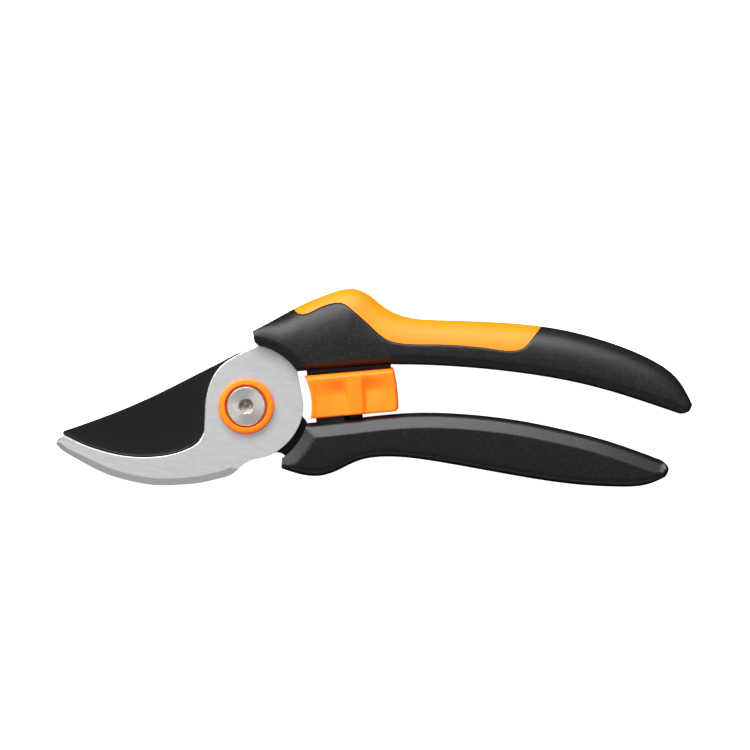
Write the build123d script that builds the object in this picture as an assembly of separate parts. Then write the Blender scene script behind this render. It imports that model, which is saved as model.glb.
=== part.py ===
from build123d import *
import math
import os

# A bypass pruner lying on its back, closed and locked. Millimetres.
# The pivot axis is Z, through the origin. The handles point along +X, the jaws along -X.
# Z = 0 is the plane that the pruner rests on. The hook blade is carried by the upper handle
# (the root body); the cutting blade is carried by the lower handle and turns about Z.

# ---- driving dimensions -------------------------------------------------------------------
HANDLE_THICK = 18.0        # both handles, along Z
FACE_GAP = 0.05            # between hook and cutting blade, and blade and rear collar
CUTTER_BACK = 5.95         # Z of the cutting blade's back face
CUTTER_THICK = 3.0
HOOK_BACK = CUTTER_BACK + CUTTER_THICK + FACE_GAP
HOOK_THICK = 3.5
HOOK_FRONT = HOOK_BACK + HOOK_THICK

BOLT_RADIUS = 4.0
BOLT_HEAD_RADIUS = 6.75
BOLT_HEAD_TALL = 2.6
HEX_SOCKET = 5.0           # across flats
HEX_SOCKET_DEEP = 1.9
BUSHING_RADIUS = 5.0
RUNNING_GAP = 0.05         # radial, cutting blade on the bushing
COLLAR_RADIUS = 9.55
COLLAR_BORE = 7.25
COLLAR_LIP = (6.85, 0.6)     # the thin lip at its foot, round the bolt head: bore and height
COLLAR_TALL = 2.2
REAR_COLLAR_THICK = 1.4
SPRING_WASHER_THICK = 0.6
SPRING_WASHER_DISH = 0.5
NUT_FLATS = 13.0

UPPER_END_RADIUS = 21.2    # hollow end of the upper handle, about the pivot
LOWER_END_RADIUS = 21.7    # hollow end of the lower handle, about the pivot
GRIP_DEEP = 2.4            # thickness of the soft grip

LOCK_SLOPE = 4.4           # degrees, the underside of the upper handle and the lock's travel
LOCK_TRAVEL = 6.0
SLIDE_BOTTOM = -5.6        # in the lock's own tilted frame, across the travel
SLIDE_TOP = 9.3
SLIDE_INNER_RADIUS = 22.5
SLIDE_OUTER_RADIUS = 52.2
SLIDE_BACK = 0.8           # Z
SLIDE_FRONT = 17.2
CHEEK_THICK = 2.8
RAIL_BOTTOM = 7.0
RAIL_TOP = 13.0
RAIL_START = 21.6
RAIL_END = 50.6
DETENT_HEIGHT = (5.6, 6.2)
UNDERSIDE = 10.5           # the upper handle's underside, in the lock's frame

SPRING_ALONG = 36.3        # place of the return spring along the lock's frame
SPRING_LOW = -7.4
SPRING_HIGH = 15.4
SPRING_RADIUS = 2.3        # to the middle of the wire
SPRING_WIRE = 0.9
SPRING_TURNS = 6.5
SPRING_ROOM = 3.4          # radius of the space round the spring
SEAT_THICK = 1.2
SEAT_PEG_RADIUS = 1.6
SEAT_PEG_TALL = 2.5
SEAT_CUP = (2.85, 3.3, 1.65)  # wall round the spring's last turn: inner, outer, height

SCREW_RADIUS = 1.4
SCREW_HEAD_RADIUS = 2.4
SCREW_HEAD_TALL = 1.7
SCREW_SUNK = 0.6
SCREW_LONG = 14.0
UPPER_SCREWS = [(17.0, 24.5), (42.0, 24.5)]
LOWER_SCREWS = [(29.0, -15.0), (60.0, -12.8)]

MIDDLE = HANDLE_THICK / 2
LOCK = Rot(0, 0, LOCK_SLOPE)


# ---- small helpers ------------------------------------------------------------------------
def slab(edges, bottom, top):
    """The closed outline drawn by some edges, as a solid between two heights."""
    return Pos(0, 0, bottom) * extrude(make_face(edges), amount=top - bottom)


def block(x, y, z):
    """A box between the given (low, high) pairs."""
    size = [high - low for low, high in (x, y, z)]
    centre = [(high + low) / 2 for low, high in (x, y, z)]
    return Pos(*centre) * Box(*size)


def rod(radius, bottom, top, at=(0, 0)):
    """An upright cylinder."""
    return Pos(at[0], at[1], (bottom + top) / 2) * Cylinder(radius, top - bottom)


def polar(radius, degrees):
    """A point about the pivot."""
    return (radius * math.cos(math.radians(degrees)), radius * math.sin(math.radians(degrees)))


def turned(*profile):
    """A solid turned about the pivot axis from (radius, height) corners."""
    corners = [(radius, 0, height) for radius, height in profile]
    return revolve(make_face(Polyline(*corners, close=True)), Axis.Z)


def edges_near(shape, *points):
    """The edge closest to each point."""
    return [shape.edges().sort_by_distance(Vertex(*point))[0] for point in points]


def end_bevel(radius, wide, deep):
    """What a conical bevel takes off both faces of a handle's hollow end."""
    high = HANDLE_THICK + 0.4 * deep / wide
    cone = turned((0, HANDLE_THICK - deep), (radius, HANDLE_THICK - deep),
                  (radius + wide + 0.4, high), (0, high))
    return cone + mirror(cone, Plane.XY.offset(MIDDLE))


def edge_bevel(curve, wide, deep, inward, face, up, reach=0.5):
    """What a flat bevel takes off a face along a curved edge.

    inward is 1 where the material is left of the curve's direction, else -1; up is 1 on a
    front face, -1 on a back face; reach carries the bevel straight on past both ends.
    """
    spots = [(curve @ 0 - (curve % 0) * reach, curve % 0)]
    spots += [(curve @ (i / 16), curve % (i / 16)) for i in range(17)]
    spots += [(curve @ 1 + (curve % 1) * reach, curve % 1)]
    sections = []
    for at, along in spots:
        inwards = Vector(-along.Y, along.X, 0) * inward
        upwards = Vector(0, 0, up)
        corner = at + Vector(0, 0, face)
        high = corner + inwards * (1.2 * wide) + upwards * (0.2 * deep)
        low = corner - inwards * (0.2 * wide) - upwards * (1.2 * deep)
        outside = corner - inwards * (0.2 * wide) + upwards * (0.2 * deep)
        sections.append(make_face(Polyline(high, low, outside, close=True)))
    return loft(sections)


# ---- blades -------------------------------------------------------------------------------
def hook_tang_edges():
    """The hook blade's tang inside the upper handle, from the head's top to its right side."""
    return [
        Line((4.2, 20.9), (7.0, 25.0)),
        Spline((7.0, 25.0), (16.0, 29.6), (30.0, 31.0), (48.0, 27.5), (78.0, 24.0)),
        Line((78.0, 24.0), (78.0, 18.0)),
        Spline((78.0, 18.0), (60.0, 19.0), (50.0, 20.5), (30.0, 19.5), (20.0, 17.0)),
        Line((20.0, 17.0), (17.4, 12.2)),
    ]


def hook_blade():
    """The silver counter blade: a hooked jaw, the round head and the tang."""
    inner = Spline((-63.2, -9.8), (-58.1, -12.3), (-51.7, -14.8), (-45.4, -16.5), (-36.5, -17.6),
                   (-26.3, -16.7), (-20.0, -14.7), (-16.3, -12.1), (-14.5, -8.6))
    throat = Spline((-14.5, -8.6), (-14.1, 0.7), (-12.9, 8.8), (-9.2, 14.1), (-3.5, 17.9),
                    (4.2, 20.9), tangents=[(0.1, 1), (1, 0.35)])
    right = Spline((17.4, 12.2), (18.5, 6.4), (19.5, 0.0), (18.4, -5.9), (13.3, -13.3),
                   (6.2, -17.7), (1.4, -18.8))
    notch = Spline((1.4, -18.8), (-0.4, -19.5), (-2.1, -21.1), (-5.4, -23.4))
    outer = Spline((-5.4, -23.4), (-11.5, -25.5), (-19.0, -26.7), (-28.0, -27.3), (-40.0, -25.7),
                   (-51.6, -22.0), (-60.5, -17.6), (-65.4, -12.3))
    tip = Spline((-65.4, -12.3), (-64.9, -10.4), (-63.2, -9.8))
    edges = [inner, throat, *hook_tang_edges(), right, notch, outer, tip]
    plate = slab(edges, HOOK_BACK, HOOK_FRONT)
    plate = fillet(edges_near(plate, (-36.5, -17.6, HOOK_FRONT), (-14.1, 0.7, HOOK_FRONT)), 0.4)
    plate -= edge_bevel(outer, 2.3, 1.5, -1, HOOK_FRONT, 1, reach=3.5)
    plate -= rod(BUSHING_RADIUS, HOOK_BACK - 1, HOOK_FRONT + 1)
    return plate - screw_holes(UPPER_SCREWS, SCREW_RADIUS)


def cutting_blade():
    """The coated blade: straight spine, curved edge ground on the back, head and tang."""
    back = CUTTER_BACK
    front = back + CUTTER_THICK
    spine = Spline((-62.8, -8.5), (-46.1, -2.5), (-29.6, 4.7), (-15.9, 11.5), (-4.9, 16.8),
                   (1.5, 18.9))
    crown = Spline((1.5, 18.9), (12.0, 14.9), (18.2, 5.8), (19.2, -3.6),
                   tangents=[(1, 0.25), (-0.1, -1)])
    heel = Spline((10.2, -15.9), (2.0, -18.0), (-7.0, -17.6), (-13.0, -17.5))
    edge = Spline((-13.0, -17.5), (-24.0, -19.8), (-36.5, -20.4), (-47.0, -18.4), (-56.5, -14.2),
                  (-63.4, -9.4))
    tip = Line((-63.4, -9.4), (-62.8, -8.5))
    tang = [
        Spline((19.2, -3.6), (20.4, -4.9), (22.6, -9.0), (28.0, -10.2)),
        Line((28.0, -10.2), (80.0, -9.0)),
        Line((80.0, -9.0), (80.0, -15.5)),
        Line((80.0, -15.5), (34.0, -17.4)),
        Line((34.0, -17.4), (20.0, -20.0)),
        Spline((20.0, -20.0), (15.0, -18.6), (12.1, -16.2), (10.2, -15.9)),
    ]
    plate = slab([spine, crown, *tang, heel, edge, tip], back, front)
    plate -= edge_bevel(edge, 4.6, 2.5, -1, back, -1, reach=2.0)
    plate -= rod(BUSHING_RADIUS + RUNNING_GAP, back - 1, front + 1)
    return plate - screw_holes(LOWER_SCREWS, SCREW_RADIUS)


# ---- pivot --------------------------------------------------------------------------------
def pivot_bolt():
    """Low round head with a hex socket; its plain end is flush with the nut at Z = 0."""
    top = HOOK_FRONT + BOLT_HEAD_TALL
    bolt = turned((0, 0), (BOLT_RADIUS, 0), (BOLT_RADIUS, HOOK_FRONT),
                  (BOLT_HEAD_RADIUS, HOOK_FRONT), (BOLT_HEAD_RADIUS, top - 0.4),
                  (BOLT_HEAD_RADIUS - 0.4, top), (0, top))
    corner = HEX_SOCKET / math.sqrt(3)
    socket = extrude(RegularPolygon(corner, 6), amount=HEX_SOCKET_DEEP)
    floor = top - HEX_SOCKET_DEEP
    drill = turned((0, floor - 1.0), (HEX_SOCKET / 2, floor), (0, floor))
    return bolt - Pos(0, 0, floor) * Rot(0, 0, 7) * socket - drill


def front_collar():
    """The coloured plastic ring round the bolt head."""
    low, high = HOOK_FRONT, HOOK_FRONT + COLLAR_TALL
    lip_bore, lip_tall = COLLAR_LIP
    return turned((lip_bore, low), (COLLAR_RADIUS, low), (COLLAR_RADIUS, high - 0.7),
                  (COLLAR_RADIUS - 0.5, high - 0.2), (COLLAR_RADIUS - 1.0, high),
                  (COLLAR_BORE + 0.25, high), (COLLAR_BORE, high - 0.25),
                  (COLLAR_BORE, low + lip_tall), (lip_bore, low + lip_tall))


def pivot_bushing():
    """The sleeve that the cutting blade turns on."""
    low = CUTTER_BACK - FACE_GAP
    return rod(BUSHING_RADIUS, low, HOOK_FRONT) - rod(BOLT_RADIUS, low - 1, HOOK_FRONT + 1)


def rear_collar():
    """Flat washer behind the cutting blade."""
    high = CUTTER_BACK - FACE_GAP
    low = high - REAR_COLLAR_THICK
    return turned((BOLT_RADIUS, low), (COLLAR_RADIUS - 0.4, low), (COLLAR_RADIUS, low + 0.4),
                  (COLLAR_RADIUS, high), (BOLT_RADIUS, high))


def spring_washer():
    """Dished washer that keeps the joint free of play."""
    high = CUTTER_BACK - FACE_GAP - REAR_COLLAR_THICK
    low = high - SPRING_WASHER_DISH
    thick = SPRING_WASHER_THICK
    return turned((BOLT_RADIUS, low - thick), (BOLT_RADIUS, low), (7.6, high), (7.6, high - thick))


def pivot_nut():
    """Hexagon nut with both faces turned down at the corners."""
    high = CUTTER_BACK - FACE_GAP - REAR_COLLAR_THICK - SPRING_WASHER_DISH - SPRING_WASHER_THICK
    corner = NUT_FLATS / math.sqrt(3)
    flats = extrude(RegularPolygon(corner, 6), amount=high)
    turned_down = turned((BOLT_RADIUS, 0), (NUT_FLATS / 2 - 0.1, 0), (corner, 0.6),
                         (corner, high - 0.6), (NUT_FLATS / 2 - 0.1, high), (BOLT_RADIUS, high))
    return flats & turned_down


# ---- handles ------------------------------------------------------------------------------
def upper_outline():
    """The upper handle seen from the front."""
    top = Spline((2.3, 25.7), (9.2, 29.5), (18.5, 34.6), (29.0, 38.9), (36.0, 40.4), (41.6, 38.6),
                 (47.5, 34.0), (55.0, 30.7), (66.0, 29.6), (90.0, 28.6), (108.0, 26.4),
                 (124.0, 22.2), (138.0, 16.6), (147.5, 10.0), (153.0, 0.6))
    tail = Spline((153.0, 0.6), (151.6, -1.9), (149.1, -2.6))
    palm = Spline((149.1, -2.6), (134.0, 2.5), (116.0, 7.6), (96.0, 11.2), (74.0, 13.5),
                  (60.0, 14.2), (50.0, 14.35), tangents=[(-1, 0.3), (-1, 0.0)])
    under = Line((50.0, 14.35), (17.6, 12.0))
    hollow = ThreePointArc((17.6, 12.0), polar(UPPER_END_RADIUS, 57), (4.1, 20.85))
    lip = Line((4.1, 20.85), (2.9, 22.0))
    nose = Line((2.9, 22.0), (2.3, 25.7))
    return [top, tail, palm, under, hollow, lip, nose]


def upper_solid():
    """The whole upper handle, before the soft grip is taken from it."""
    outline = upper_outline()
    palm, under = outline[2:4]
    body = slab(outline, 0, HANDLE_THICK)
    for face, up in ((0, -1), (HANDLE_THICK, 1)):
        body = fillet(edges_near(body, (66.0, 29.6, face), (151.6, -1.9, face)), 3.0)
        body -= edge_bevel(palm, 2.6, 2.2, -1, face, up)
        body -= edge_bevel(under, 2.6, 2.2, -1, face, up)
    return body - end_bevel(UPPER_END_RADIUS, 3.2, 2.0)


def grip_outline():
    """The edge of the soft grip on the handle's faces; it runs out past the handle's top."""
    line = Spline((18.2, 31.6), (24.0, 33.3), (31.2, 35.6), (36.5, 33.0), (43.3, 26.9),
                  (49.0, 22.5), (56.0, 21.3), (73.4, 20.8), (84.8, 19.6), (93.0, 19.1))
    run_out = Spline((93.0, 19.1), (97.9, 22.8), (103.5, 30.5))
    return [line, run_out, Line((103.5, 30.5), (103.5, 50.0)), Line((103.5, 50.0), (12.0, 50.0)),
            Line((12.0, 50.0), (12.0, 37.0)), Line((12.0, 37.0), (18.2, 31.6))]


def grip_core():
    """The hard core that the soft grip is moulded round."""
    top = Spline((10.0, 27.2), (19.5, 32.4), (29.8, 36.5), (36.0, 37.9), (40.2, 36.5),
                 (46.3, 31.8), (54.5, 28.3), (66.0, 27.2), (90.0, 26.2), (110.0, 23.4))
    return slab([top, Line((110.0, 23.4), (110.0, 8.0)), Line((110.0, 8.0), (10.0, 8.0)),
                 Line((10.0, 8.0), (10.0, 27.2))], GRIP_DEEP, HANDLE_THICK - GRIP_DEEP)


def upper_soft_grip():
    """The soft moulding, flush with the handle, over its outer side."""
    region = slab(grip_outline(), -1, HANDLE_THICK + 1)
    return (upper_solid() & region) - grip_core()


def upper_handle():
    """The hard handle: room for the grip, the tang, the lock's rail, the spring and the screws."""
    body = upper_solid() - upper_soft_grip() - hook_blade() - LOCK * rail_bar()
    body -= spring_room(UNDERSIDE - 1, SPRING_HIGH + SEAT_THICK)
    return body - screw_holes(UPPER_SCREWS, SCREW_RADIUS) - screw_pockets(UPPER_SCREWS)


def lower_outline():
    """The lower handle seen from the front."""
    top = Spline((20.9, -5.85), (30.0, -5.0), (43.0, -3.5), (56.0, -2.4), (66.0, -2.3),
                 (80.0, -3.2), (94.0, -5.0), (108.0, -7.8), (122.0, -11.3), (142.6, -18.5))
    tail = Spline((142.6, -18.5), (144.9, -21.0), (143.8, -24.4))
    belly = Spline((143.8, -24.4), (138.6, -26.5), (127.0, -27.6), (114.0, -26.9), (94.0, -24.1),
                   (74.0, -20.5), (60.0, -18.2), (48.0, -17.3), (38.0, -18.9), (31.0, -22.2),
                   (25.0, -23.9), (18.0, -23.2), (12.1, -21.3))
    nose = Line((12.1, -21.3), (12.3, -17.9))
    hollow = ThreePointArc((12.3, -17.9), polar(LOWER_END_RADIUS, -36), (20.9, -5.85))
    return [top, tail, belly, nose, hollow]


def lower_handle():
    """The lower handle, with a broad bevel along its inner edge on both faces."""
    outline = lower_outline()
    body = slab(outline, 0, HANDLE_THICK)
    for face, up in ((0, -1), (HANDLE_THICK, 1)):
        body = fillet(edges_near(body, (94.0, -24.1, face)), 4.0)
        body -= edge_bevel(outline[0], 5.4, 3.0, -1, face, up, reach=4.0)
    body -= end_bevel(LOWER_END_RADIUS, 4.6, 2.6)
    body -= cutting_blade()
    body -= LOCK * catch_foot()
    body -= spring_room(SPRING_LOW - SEAT_THICK, -3)
    return body - screw_holes(LOWER_SCREWS, SCREW_RADIUS) - screw_pockets(LOWER_SCREWS)


# ---- screws that hold the tangs, driven from the back ---------------------------------------
def screw_holes(places, radius):
    """Plain holes for the screws' shanks."""
    low = SCREW_SUNK + SCREW_HEAD_TALL
    return [rod(radius, low, SCREW_SUNK + SCREW_LONG, at) for at in places]


def screw_pockets(places):
    """Round pockets for the screws' heads in the handle's back."""
    high = SCREW_SUNK + SCREW_HEAD_TALL
    return [rod(SCREW_HEAD_RADIUS + 0.15, -1, high, at) for at in places]


def tang_screw(at):
    """One screw with a sunk, low head and a small hex socket."""
    under = SCREW_SUNK + SCREW_HEAD_TALL
    screw = turned((0, SCREW_SUNK), (SCREW_HEAD_RADIUS - 0.4, SCREW_SUNK),
                   (SCREW_HEAD_RADIUS, SCREW_SUNK + 0.4), (SCREW_HEAD_RADIUS, under),
                   (SCREW_RADIUS, under), (SCREW_RADIUS, SCREW_SUNK + SCREW_LONG),
                   (0, SCREW_SUNK + SCREW_LONG))
    socket = Pos(0, 0, SCREW_SUNK) * extrude(RegularPolygon(1.25, 6), amount=1.0)
    return Pos(at[0], at[1], 0) * (screw - socket)


def upper_tang_screws():
    """Both screws of the upper handle."""
    return Compound([tang_screw(at).solid() for at in UPPER_SCREWS])


def lower_tang_screws():
    """Both screws of the lower handle."""
    return Compound([tang_screw(at).solid() for at in LOWER_SCREWS])


# ---- sliding lock, drawn in a frame tilted with the upper handle's underside ---------------
def ring(inner, outer, low, high):
    """A washer shape about the pivot."""
    return rod(outer, low, high) - rod(inner, low - 1, high + 1)


def both_sides(shape):
    """A shape and its mirror image across the middle plane of the handles."""
    return shape + mirror(shape, Plane.XY.offset(MIDDLE))


def rail_bar():
    """The rail's outer block, half sunk in the upper handle."""
    return block((RAIL_START, RAIL_END), (RAIL_BOTTOM, RAIL_TOP), (4.1, HANDLE_THICK - 4.1))


def slide_rail():
    """Dark insert under the upper handle; the lock's lips run in its two side grooves."""
    groove = block((RAIL_START - 1, RAIL_END + 1), (7.8, 9.4), (12.6, HANDLE_THICK))
    return LOCK * (rail_bar() - both_sides(groove)) - spring_room(RAIL_BOTTOM - 1, RAIL_TOP + 1)


def slide_hollow():
    """The open inside of the lock: over the catch, under the rail and round the spring."""
    low, high = SLIDE_BACK + CHEEK_THICK, SLIDE_FRONT - CHEEK_THICK
    middle = ring(SLIDE_INNER_RADIUS + 1.8, SLIDE_OUTER_RADIUS - 3.2, low, high)
    mouth = ring(SLIDE_INNER_RADIUS - 1, SLIDE_INNER_RADIUS + 2, low, high)
    below = block((15, 60), (SLIDE_BOTTOM - 1, -1.0), (low, high))
    above = block((15, 60), (6.5, SLIDE_TOP + 1), (low, high))
    far_mouth = ring(SLIDE_OUTER_RADIUS - 3.3, SLIDE_OUTER_RADIUS + 1, low, high)
    far_mouth &= block((15, 60), (6.8, SLIDE_TOP + 1), (low, high))
    return middle + (mouth & (below + above)) + far_mouth


def thumb_recess(inner, outer):
    """A shallow dish in the lock's front face, open at the bottom edge."""
    floor = SLIDE_FRONT - 1.0
    dish = ring(inner, outer, floor, SLIDE_FRONT + 1)
    dish &= block((15, 60), (SLIDE_BOTTOM - 1, SLIDE_TOP - 1.2), (floor, SLIDE_FRONT + 1))
    upright = dish.edges().filter_by(Axis.Z).sort_by(Axis.Y)[-2:]
    return fillet(upright, 1.2)


def lock_slide():
    """The coloured slide: two cheeks, two end walls, lips for the rail, ledges for the catch."""
    body = ring(SLIDE_INNER_RADIUS, SLIDE_OUTER_RADIUS, SLIDE_BACK, SLIDE_FRONT)
    body &= block((15, 60), (SLIDE_BOTTOM, SLIDE_TOP), (SLIDE_BACK, SLIDE_FRONT))
    inside = SLIDE_FRONT - CHEEK_THICK
    body -= slide_hollow()
    body += both_sides(block((26.0, 47.4), (8.05, 9.1), (13.0, inside + 0.1)))
    body += both_sides(block((24.6, 29.4), (SLIDE_BOTTOM, -4.75), (12.9, inside + 0.1)))
    body -= both_sides(thumb_recess(SLIDE_INNER_RADIUS + 1.2, 36.2))
    body -= both_sides(thumb_recess(39.8, SLIDE_OUTER_RADIUS - 1.2))
    body -= block((40.5, 50.6), DETENT_HEIGHT, (6.5, 11.5))
    return LOCK * body


def lock_detent_spring():
    """A leaf in the lock's end wall whose bump clicks on the rail."""
    low, high = DETENT_HEIGHT
    leaf = block((41.0, 50.6), (low, high), (6.5, 11.5))
    bump = Pos(42.4, high, MIDDLE) * Cylinder(0.55, 5.0)
    return LOCK * (leaf + (bump & block((41, 44), (high, high + 1), (6.5, 11.5))))


def catch_foot():
    """The part of the catch that is let into the lower handle."""
    return block((23.6, 33.2), (-9.4, -5.9), (3.2, HANDLE_THICK - 3.2))


def lock_catch():
    """T-shaped catch on the lower handle; its wings sit over the lock's ledges."""
    stem = block((24.5, 30.0), (-5.9, -3.7), (5.4, HANDLE_THICK - 5.4))
    wings = block((24.5, 29.5), (-4.5, -3.7), (4.0, HANDLE_THICK - 4.0))
    return LOCK * (catch_foot() + stem + wings) - spring_room(-10, -3)


# ---- return spring ------------------------------------------------------------------------
def along_spring(shape, at):
    """Stand an upright shape on the spring's axis, its base at a height across the lock."""
    return LOCK * Pos(SPRING_ALONG, at, MIDDLE) * Rot(-90, 0, 0) * shape


def spring_room(low, high):
    """The round space that the spring works in."""
    return along_spring(rod(SPRING_ROOM, 0, high - low), low)


def return_spring():
    """Open coil that pushes the handles apart, standing on its two seats."""
    tall = SPRING_HIGH - SPRING_LOW - SPRING_WIRE
    path = Helix(tall / SPRING_TURNS, tall, SPRING_RADIUS)
    start = Plane(origin=path @ 0, z_dir=path % 0)
    coil = sweep(start * Circle(SPRING_WIRE / 2), path, is_frenet=True)
    return along_spring(coil, SPRING_LOW + SPRING_WIRE / 2)


def spring_seat():
    """Disc with a peg inside the spring's last turn and a low wall round it."""
    inner, outer, tall = SEAT_CUP
    peg = rod(SEAT_PEG_RADIUS, 0, SEAT_THICK + SEAT_PEG_TALL)
    wall = rod(outer, 0, SEAT_THICK + tall) - rod(inner, SEAT_THICK, SEAT_THICK + tall + 1)
    return rod(SPRING_ROOM - 0.05, 0, SEAT_THICK) + peg + wall


def lower_spring_seat():
    """The seat let into the lower handle."""
    return along_spring(spring_seat(), SPRING_LOW - SEAT_THICK)


def upper_spring_seat():
    """The same seat, upside down in the upper handle."""
    return along_spring(Rot(180, 0, 0) * spring_seat(), SPRING_HIGH + SEAT_THICK)


# ---- files --------------------------------------------------------------------------------
PIECES = [
    hook_blade, cutting_blade, pivot_bolt, front_collar, pivot_bushing, rear_collar,
    spring_washer, pivot_nut, upper_handle, upper_soft_grip, upper_tang_screws, slide_rail,
    upper_spring_seat, lower_handle, lower_tang_screws, lock_catch, lower_spring_seat,
    lock_slide, lock_detent_spring, return_spring,
]

os.makedirs("parts", exist_ok=True)
for piece in PIECES:
    export_step(piece(), f"parts/{piece.__name__}.step")
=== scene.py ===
import math

import bmesh
import bpy
import numpy as np
from mathutils import Matrix, Vector
from mathutils.geometry import delaunay_2d_cdt
from mathutils.kdtree import KDTree


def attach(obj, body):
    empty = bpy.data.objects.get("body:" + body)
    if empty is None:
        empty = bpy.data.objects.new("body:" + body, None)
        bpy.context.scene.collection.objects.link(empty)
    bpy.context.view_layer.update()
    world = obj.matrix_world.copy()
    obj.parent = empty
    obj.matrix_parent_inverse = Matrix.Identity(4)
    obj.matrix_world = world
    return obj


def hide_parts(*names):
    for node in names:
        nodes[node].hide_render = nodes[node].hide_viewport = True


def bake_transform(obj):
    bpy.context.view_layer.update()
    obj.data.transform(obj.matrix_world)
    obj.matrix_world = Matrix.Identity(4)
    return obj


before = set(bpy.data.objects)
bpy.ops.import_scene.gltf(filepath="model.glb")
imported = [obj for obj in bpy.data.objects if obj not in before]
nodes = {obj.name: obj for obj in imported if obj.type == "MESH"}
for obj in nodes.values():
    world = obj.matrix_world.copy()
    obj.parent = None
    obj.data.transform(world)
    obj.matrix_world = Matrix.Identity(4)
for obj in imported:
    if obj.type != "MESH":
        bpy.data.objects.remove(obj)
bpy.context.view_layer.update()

# ---- driving dimensions, in millimetres about the pivot unless they say otherwise -----------
MM = 0.001
THICK = 18.0                 # both handles, along Z
MIDDLE = THICK / 2
HOOK_FRONT = 12.5
HOOK_BACK = 9.0
JAW = [(-62.9, -9.8), (-58.1, -12.3), (-51.7, -14.8), (-45.4, -16.5), (-36.5, -17.6),
       (-26.3, -16.7), (-20.0, -14.7), (-16.3, -12.1), (-14.5, -8.6)]
HOOK_BEVEL = (2.35, 0.9)     # ground bevel: width and depth
HOOK_BEVEL_AT_TIP = 0.62     # share of that width left at the tip
HOOK_BEVEL_END = (-4.8, -21.3)  # where the bevel runs out, beside the notch
JAW_CHAMFER = 0.13
THROAT_CHAMFER = 0.26
CUTTER = (5.95, 8.95)        # back and front of the cutting blade
CUTTER_LINE = (0.75, 0.16, 0.12)  # fine groove beside the jaw: distance, half width, depth
CUTTER_SPINE_CHAMFER = 0.3
CUTTER_GRIND = (4.6, 2.5)    # bevel of the cutting edge, on the back: width and depth
BUSHING_RADIUS = 5.0
RUNNING_GAP = 0.05           # cutting blade on the bushing
COLLAR = {"inner": 7.35, "outer": 9.55, "tall": 2.2, "shoulder": 1.0, "lip": 0.25, "foot": 6.86}

UPPER_HOLLOW = 21.2          # radius of the upper handle's hollow end
UPPER_ROUND = (0.68, 8.6)    # rounding of the outer side: share of the width, and most depth
UPPER_ROUND_SLOPE = 0.66     # depth over width of that rounding
NOSE_BROADER = 0.12          # how much more of the width it takes at the nose
NOSE_FLATTER = 0.6           # how much of its depth it loses at the nose
NOSE_EDGE = (0.6, 0.7)
PALM_EDGE = (0.8, 1.0)
UPPER_BEVEL = (3.1, 2.3)     # bevel along the palm side
UPPER_BEVEL_BY_LOCK = (2.5, 3.4)  # the same bevel where it faces the lock
UPPER_END_BEVEL = (3.4, 2.2)
LOWER_HOLLOW = 21.7
LOWER_BEVEL = (5.3, 2.78)    # broad bevel along the inner side
LOWER_RIM = (1.7, 2.4)       # steep rounding where that bevel meets the edge
LOWER_END_BEVEL = (4.7, 2.05)
LOWER_NOSE_EDGE = (0.8, 0.8)
LOWER_ROUND = (3.2, 3.4)
LOWER_CROWN = 0.005          # how fast the face falls away beyond the bevel
PARTING_EDGE = (0.45, 0.28)  # eased edge of the hard plastic beside the soft grip

LOCK_SLOPE = math.radians(4.4)
SLIDE = {"inner": 22.5, "outer": 52.2, "bottom": -6.2, "top": 8.65, "front": 17.2}
CHEEK_LEAN = math.radians(0.6)   # the cheeks' edges against the direction of travel
CHEEK_THICK = 2.8
RECESS_DEEP = (1.7, 2.0)     # left and right of the thumb rib
RIB = (36.2, 39.8)           # radii of the thumb rib's two sides
CHEEK_EDGE = (0.5, 0.6)
CHEEK_END = (1.3, 1.6)       # larger rounding of the outer end
CHEEK_TOP_CHAMFER = (1.4, 1.75)
LOCK_LIP = ((26.0, 47.4), (8.05, 8.75), 13.0)  # along, across, and Z of its inner face
LOCK_LEDGE = ((24.6, 29.4), (-5.5, -4.75), 12.9)

SPRING = {"along": 36.3, "low": -7.4, "high": 15.4, "radius": 2.3, "wire": 0.45, "turns": 6.5}

SCREWS_UPPER = [(17.0, 24.5), (42.0, 24.5)]
SCREWS_LOWER = [(29.0, -15.0), (60.0, -12.8)]
SCREW_POCKET = (2.55, 2.3)   # radius and depth

CAMERA_HEIGHT = 1.5          # metres
VIEW_CENTRE = (0.0442, 0.0107)
VIEW_WIDE = 0.2575


# ---- flat curves ----------------------------------------------------------------------------
def curve(points, step=0.5):
    """A smooth curve through the points, sampled about every step."""
    p = np.array(points, float)
    t = np.concatenate([[0], np.cumsum(np.linalg.norm(np.diff(p, axis=0), axis=1))])
    n = len(p)
    gap = np.diff(t)
    matrix = np.eye(n)
    right = np.zeros((n, 2))
    for i in range(1, n - 1):
        matrix[i, i - 1:i + 2] = gap[i - 1], 2 * (gap[i - 1] + gap[i]), gap[i]
        right[i] = 6 * ((p[i + 1] - p[i]) / gap[i] - (p[i] - p[i - 1]) / gap[i - 1])
    bend = np.linalg.solve(matrix, right)
    samples = []
    for s in np.linspace(0, t[-1], max(2, int(t[-1] / step) + 1)):
        i = min(int(np.searchsorted(t, s, side="right")) - 1, n - 2)
        a, b, h = t[i + 1] - s, s - t[i], gap[i]
        samples.append((bend[i] * a ** 3 + bend[i + 1] * b ** 3) / (6 * h)
                       + (p[i] / h - bend[i] * h / 6) * a
                       + (p[i + 1] / h - bend[i + 1] * h / 6) * b)
    return [tuple(q) for q in samples]


def line(start, end, step=0.5):
    """Evenly spaced points on a straight line."""
    start, end = np.array(start), np.array(end)
    count = max(1, int(np.linalg.norm(end - start) / step))
    return [tuple(start + (end - start) * i / count) for i in range(count + 1)]


def arc(radius, first, last, step=0.5):
    """Points on a circle about the pivot, between two angles in degrees."""
    count = max(2, int(abs(math.radians(last - first)) * radius / step))
    angles = [math.radians(first + (last - first) * i / count) for i in range(count + 1)]
    return [(radius * math.cos(a), radius * math.sin(a)) for a in angles]


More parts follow.
